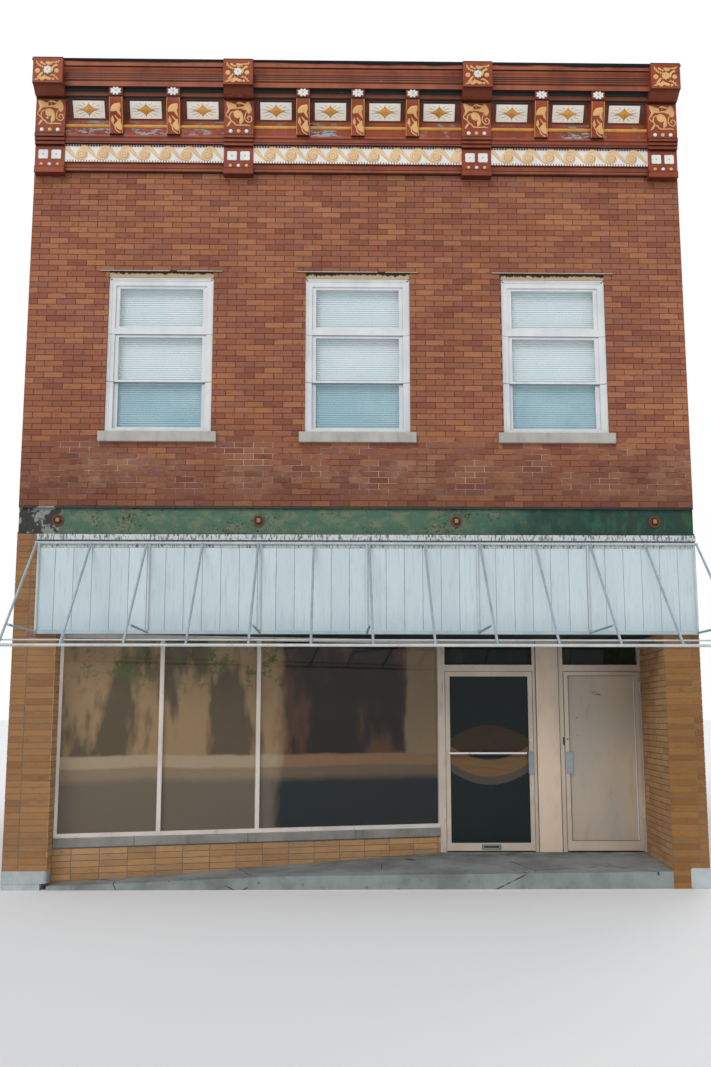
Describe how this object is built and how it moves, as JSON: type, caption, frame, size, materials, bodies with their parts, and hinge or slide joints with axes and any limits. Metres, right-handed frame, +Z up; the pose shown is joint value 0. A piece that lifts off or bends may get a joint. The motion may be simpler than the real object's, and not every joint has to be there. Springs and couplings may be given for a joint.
{
  "type": "two-storey brick shop building",
  "caption": "Two-storey brick shop building with bracketed cornice, slanted shopfront, two hinged doors and a bare awning frame.",
  "frame": {"origin": "middle of the street front, in the front wall's face, at the lowest ground level", "axes": "+X along the street front to the right as seen from the street, +Y into the building, +Z up"},
  "size_m": [7.62, 13.625, 9.445],
  "materials": {
    "red_brick": "matte",
    "plain_brick": "matte",
    "buff_brick": "matte",
    "pale_stone": "matte",
    "concrete": "matte",
    "roofing": "matte",
    "coping_tile": "satin",
    "timber_floor": "matte",
    "soffit_paint": "satin",
    "green_steel": "weathered satin",
    "rusty_iron": "matte",
    "oxblood_paint": "satin",
    "dark_panel_paint": "satin",
    "cream_paint": "satin",
    "ochre_paint": "satin",
    "white_boards": "weathered matte",
    "steel_pipe": "satin",
    "beige_aluminium": "satin",
    "beige_panel": "satin",
    "bright_metal": "satin",
    "glass": "polished",
    "white_frame": "satin",
    "blind": "matte"
  },
  "bodies": {
    "building": {"awning_braces": "steel_pipe", "awning_posts": "steel_pipe", "awning_rafters": "steel_pipe", "awning_rails": "steel_pipe", "beam_rosettes": "rusty_iron", "big_brackets": "oxblood_paint", "bulkhead": "buff_brick", "cornice_architrave": "oxblood_paint", "cornice_base": "oxblood_paint", "cornice_corona": "oxblood_paint", "cornice_crown": "oxblood_paint", "cornice_panels": "dark_panel_paint", "cornice_plates": "cream_paint", "cornice_rod": "ochre_paint", "door_post": "beige_panel", "entry_slab": "concrete", "entry_soffit": "soffit_paint", "front_wall": "red_brick", "ground_floor": "concrete", "left_party_wall": "plain_brick", "left_pier": "buff_brick", "left_pier_base": "pale_stone", "parapet_coping": "coping_tile", "rear_door": "beige_panel", "rear_wall_lower": "plain_brick", "rear_wall_upper": "plain_brick", "rear_window_frames": "white_frame", "rear_window_glass": "glass", "rear_window_lintels": "rusty_iron", "rear_window_sills": "pale_stone", "right_party_wall": "plain_brick", "right_pier": "buff_brick", "right_pier_base": "pale_stone", "roof_deck": "roofing", "roof_edge": "roofing", "scroll_frieze": "cream_paint", "shop_door_frame": "beige_aluminium", "shop_transom_glass": "glass", "shopfront_frame": "beige_aluminium", "shopfront_glass": "glass", "shopfront_sill": "pale_stone", "side_door_frame": "beige_aluminium", "side_transom_glass": "glass", "sign_band": "white_boards", "sign_band_trims": "white_boards", "small_brackets": "ochre_paint", "steel_beam": "green_steel", "upper_floor": "timber_floor", "window_blinds": "blind", "window_frames": "white_frame", "window_glass": "glass", "window_lintels": "rusty_iron", "window_sashes": "white_frame", "window_sills": "pale_stone"},
    "shop_door": {"shop_door": "beige_aluminium", "shop_door_glass": "glass", "shop_door_fittings": "bright_metal"},
    "side_door": {"side_door": "beige_panel", "side_door_pull": "bright_metal"}
  },
  "joints": [
    {"name": "shop_door_hinge", "type": "hinge", "parent": "building", "child": "shop_door", "pos_m": [1.0975, 1.392, 1.307], "axis": [0, 0, -1], "range_deg": [0, 90]},
    {"name": "side_door_hinge", "type": "hinge", "parent": "building", "child": "side_door", "pos_m": [3.4695, 1.392, 1.307], "axis": [0, 0, 1], "range_deg": [0, 85]}
  ]
}
